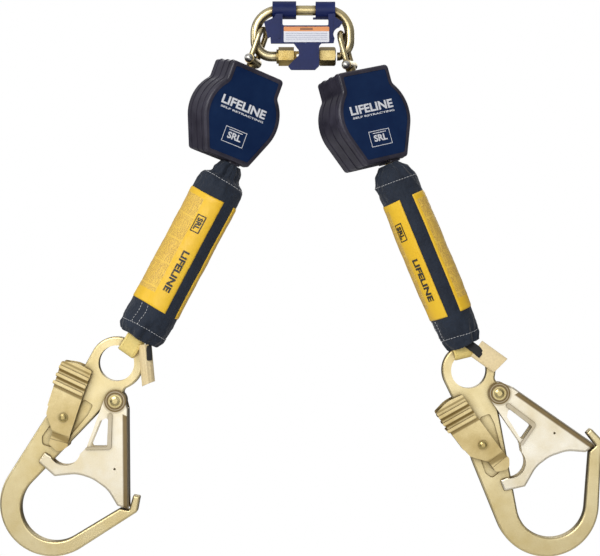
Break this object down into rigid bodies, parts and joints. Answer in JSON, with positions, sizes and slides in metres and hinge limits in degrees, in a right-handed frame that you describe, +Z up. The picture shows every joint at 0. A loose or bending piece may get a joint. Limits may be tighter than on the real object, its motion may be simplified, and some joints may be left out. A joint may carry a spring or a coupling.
{
  "type": "self retracting lifeline",
  "caption": "Twin-leg self retracting lifeline: harness connector link, shackled swivelling housings with spring-wound webbing, sleeved shock absorbers and large gated scaffold hooks.",
  "frame": {"origin": "centre of the harness bar's axis at the top of the connector link", "axes": "+Z up with the unit hanging from the harness bar, +X along the harness bar towards the right-hand leg as seen from the front, +Y away from the front; the face plates and the keeper's label look towards -Y"},
  "size_m": [0.5963, 0.0774, 0.5523],
  "materials": {
    "zinc_gold": "pale gold zinc plating",
    "zinc_dark": "darker gold zinc plating",
    "pin_steel": "bright steel",
    "spring_steel": "blued spring steel",
    "shell_plastic": "fine textured moulding",
    "navy_plastic": "semi-gloss moulding",
    "face_navy": "gloss plate",
    "label_white": "printed film",
    "label_yellow": "printed film",
    "webbing_yellow": "woven webbing",
    "cover_fabric": "coated woven nylon",
    "pack_webbing": "folded webbing",
    "drum_alloy": "turned"
  },
  "bodies": {
    "connector": {"link_body": "zinc_gold", "nose_stud": "zinc_gold", "hinge_collar": "zinc_dark", "gate_hinge_pin": "pin_steel"},
    "gate": {"gate_bar": "zinc_gold"},
    "lock_sleeve": {"lock_sleeve": "zinc_dark"},
    "keeper": {"keeper_bracket": "navy_plastic", "warning_label": "label_white"},
    "left_shackle": {"left_shackle_bow": "zinc_gold", "left_shackle_pin": "pin_steel"},
    "left_stud": {"left_swivel_stud": "zinc_gold"},
    "left_housing": {"left_front_shell": "shell_plastic", "left_rear_shell": "shell_plastic", "left_face_plate": "face_navy", "left_load_frame": "pin_steel", "left_drum_axle": "pin_steel", "left_housing_screws": "spring_steel", "left_power_spring": "spring_steel", "left_web_nozzle": "shell_plastic", "left_lifeline_web": "webbing_yellow"},
    "left_drum": {"left_drum": "drum_alloy", "left_webbing_coil": "webbing_yellow"},
    "left_pawl_a": {"left_pawl_a": "spring_steel"},
    "left_pawl_b": {"left_pawl_b": "spring_steel"},
    "left_line": {"left_absorber_pack": "pack_webbing", "left_absorber_cover": "cover_fabric", "left_absorber_labels": "label_yellow", "left_eye_loop": "webbing_yellow"},
    "left_hook": {"left_hook_body": "zinc_gold", "left_hook_rivets": "pin_steel", "left_gate_spring": "spring_steel", "left_lever_spring": "spring_steel"},
    "left_hook_gate": {"left_hook_gate": "zinc_gold"},
    "left_lever": {"left_lock_lever": "zinc_dark"},
    "right_shackle": {"right_shackle_bow": "zinc_gold", "right_shackle_pin": "pin_steel"},
    "right_stud": {"right_swivel_stud": "zinc_gold"},
    "right_housing": {"right_front_shell": "shell_plastic", "right_rear_shell": "shell_plastic", "right_face_plate": "face_navy", "right_load_frame": "pin_steel", "right_drum_axle": "pin_steel", "right_housing_screws": "spring_steel", "right_power_spring": "spring_steel", "right_web_nozzle": "shell_plastic", "right_lifeline_web": "webbing_yellow"},
    "right_drum": {"right_drum": "drum_alloy", "right_webbing_coil": "webbing_yellow"},
    "right_pawl_a": {"right_pawl_a": "spring_steel"},
    "right_pawl_b": {"right_pawl_b": "spring_steel"},
    "right_line": {"right_absorber_pack": "pack_webbing", "right_absorber_cover": "cover_fabric", "right_absorber_labels": "label_yellow", "right_eye_loop": "webbing_yellow"},
    "right_hook": {"right_hook_body": "zinc_gold", "right_hook_rivets": "pin_steel", "right_gate_spring": "spring_steel", "right_lever_spring": "spring_steel"},
    "right_hook_gate": {"right_hook_gate": "zinc_gold"},
    "right_lever": {"right_lock_lever": "zinc_dark"}
  },
  "joints": [
    {"name": "gate_swing", "type": "hinge", "parent": "connector", "child": "gate", "pos_m": [-0.0045, 0, -0.046], "axis": [0, -1, 0], "range_deg": [0, 35]},
    {"name": "lock_sleeve_slide", "type": "slide", "parent": "gate", "child": "lock_sleeve", "axis": [1, 0, 0], "range_m": [0, 0.004]},
    {"name": "keeper_flip", "type": "hinge", "parent": "connector", "child": "keeper", "pos_m": [0, 0, 0], "axis": [-1, 0, 0], "range_deg": [0, 60]},
    {"name": "left_shackle_swing", "type": "hinge", "parent": "connector", "child": "left_shackle", "pos_m": [-0.03788, 0, -0.01896], "axis": [0, 1, 0], "range_deg": [-4, 40]},
    {"name": "left_stud_tilt", "type": "hinge", "parent": "left_shackle", "child": "left_stud", "pos_m": [-0.04934, 0, -0.05044], "axis": [-0.2904, -0.9511, 0.1057], "range_deg": [-20, 10]},
    {"name": "left_housing_swivel", "type": "hinge", "parent": "left_stud", "child": "left_housing", "pos_m": [-0.04934, 0, -0.05044], "axis": [0.342, 0, 0.9397], "continuous": true},
    {"name": "left_payout", "type": "slide", "parent": "left_housing", "child": "left_line", "axis": [-0.4695, 0, -0.8829], "range_m": [0, 1.5], "stiffness_N_per_m": 10, "springref_m": -2.2, "deforming": ["left_lifeline_web"]},
    {"name": "left_drum_spin", "type": "hinge", "parent": "left_housing", "child": "left_drum", "pos_m": [-0.06883, 0, -0.104], "axis": [-0.4412, 0.8829, 0.1606], "range_deg": [0, 3960]},
    {"name": "left_hook_swing", "type": "hinge", "parent": "left_line", "child": "left_hook", "pos_m": [-0.1843, -0.009, -0.3519], "axis": [0, 1, 0], "range_deg": [-35, 35]},
    {"name": "left_gate_open", "type": "hinge", "parent": "left_hook", "child": "left_hook_gate", "pos_m": [-0.18526, -0.009, -0.38909], "axis": [0, 1, 0], "range_deg": [0, 36], "stiffness_Nm_per_rad": 0.4, "springref_deg": -34.38},
    {"name": "left_lever_press", "type": "hinge", "parent": "left_hook", "child": "left_lever", "pos_m": [-0.23611, -0.009, -0.40507], "axis": [0, 1, 0], "range_deg": [0, 20]},
    {"name": "left_pawl_a_flick", "type": "hinge", "parent": "left_drum", "child": "left_pawl_a", "pos_m": [-0.05899, 0.01225, -0.10759], "axis": [0.4412, -0.8829, -0.1606], "range_deg": [0, 18], "stiffness_Nm_per_rad": 0.004, "springref_deg": -34.38},
    {"name": "left_pawl_b_flick", "type": "hinge", "parent": "left_drum", "child": "left_pawl_b", "pos_m": [-0.08388, -0.00183, -0.09853], "axis": [0.4412, -0.8829, -0.1606], "range_deg": [0, 18], "stiffness_Nm_per_rad": 0.004, "springref_deg": -34.38},
    {"name": "right_shackle_swing", "type": "hinge", "parent": "connector", "child": "right_shackle", "pos_m": [0.03839, 0, -0.02241], "axis": [0, 1, 0], "range_deg": [-40, 8]},
    {"name": "right_stud_tilt", "type": "hinge", "parent": "right_shackle", "child": "right_stud", "pos_m": [0.04706, 0, -0.05477], "axis": [-0.2985, -0.9511, -0.08], "range_deg": [-10, 20]},
    {"name": "right_housing_swivel", "type": "hinge", "parent": "right_stud", "child": "right_housing", "pos_m": [0.04706, 0, -0.05477], "axis": [-0.2588, 0, 0.9659], "continuous": true},
    {"name": "right_payout", "type": "slide", "parent": "right_housing", "child": "right_line", "axis": [0.3827, 0, -0.9239], "range_m": [0, 1.5], "stiffness_N_per_m": 10, "springref_m": -2.2, "deforming": ["right_lifeline_web"]},
    {"name": "right_drum_spin", "type": "hinge", "parent": "right_housing", "child": "right_drum", "pos_m": [0.06181, 0, -0.10983], "axis": [-0.4535, 0.8829, -0.1215], "range_deg": [0, 3960]},
    {"name": "right_hook_swing", "type": "hinge", "parent": "right_line", "child": "right_hook", "pos_m": [0.1647, -0.009, -0.3591], "axis": [0, 1, 0], "range_deg": [-35, 35]},
    {"name": "right_gate_open", "type": "hinge", "parent": "right_hook", "child": "right_hook_gate", "pos_m": [0.19445, -0.009, -0.38143], "axis": [0, 1, 0], "range_deg": [0, 36], "stiffness_Nm_per_rad": 0.4, "springref_deg": -34.38},
    {"name": "right_lever_press", "type": "hinge", "parent": "right_hook", "child": "right_lever", "pos_m": [0.17803, -0.009, -0.43213], "axis": [0, 1, 0], "range_deg": [0, 20]},
    {"name": "right_pawl_a_flick", "type": "hinge", "parent": "right_drum", "child": "right_pawl_a", "pos_m": [0.07193, 0.01225, -0.10712], "axis": [0.4535, -0.8829, 0.1215], "range_deg": [0, 18], "stiffness_Nm_per_rad": 0.004, "springref_deg": -34.38},
    {"name": "right_pawl_b_flick", "type": "hinge", "parent": "right_drum", "child": "right_pawl_b", "pos_m": [0.04634, -0.00183, -0.11397], "axis": [0.4535, -0.8829, 0.1215], "range_deg": [0, 18], "stiffness_Nm_per_rad": 0.004, "springref_deg": -34.38}
  ],
  "couplings": [
    {"joint": "left_drum_spin", "follows": "left_payout", "rad_per_m": 46.077},
    {"joint": "left_lever_press", "follows": "left_gate_open", "ratio": 0.55556},
    {"joint": "right_drum_spin", "follows": "right_payout", "rad_per_m": 46.077},
    {"joint": "right_lever_press", "follows": "right_gate_open", "ratio": 0.55556}
  ]
}
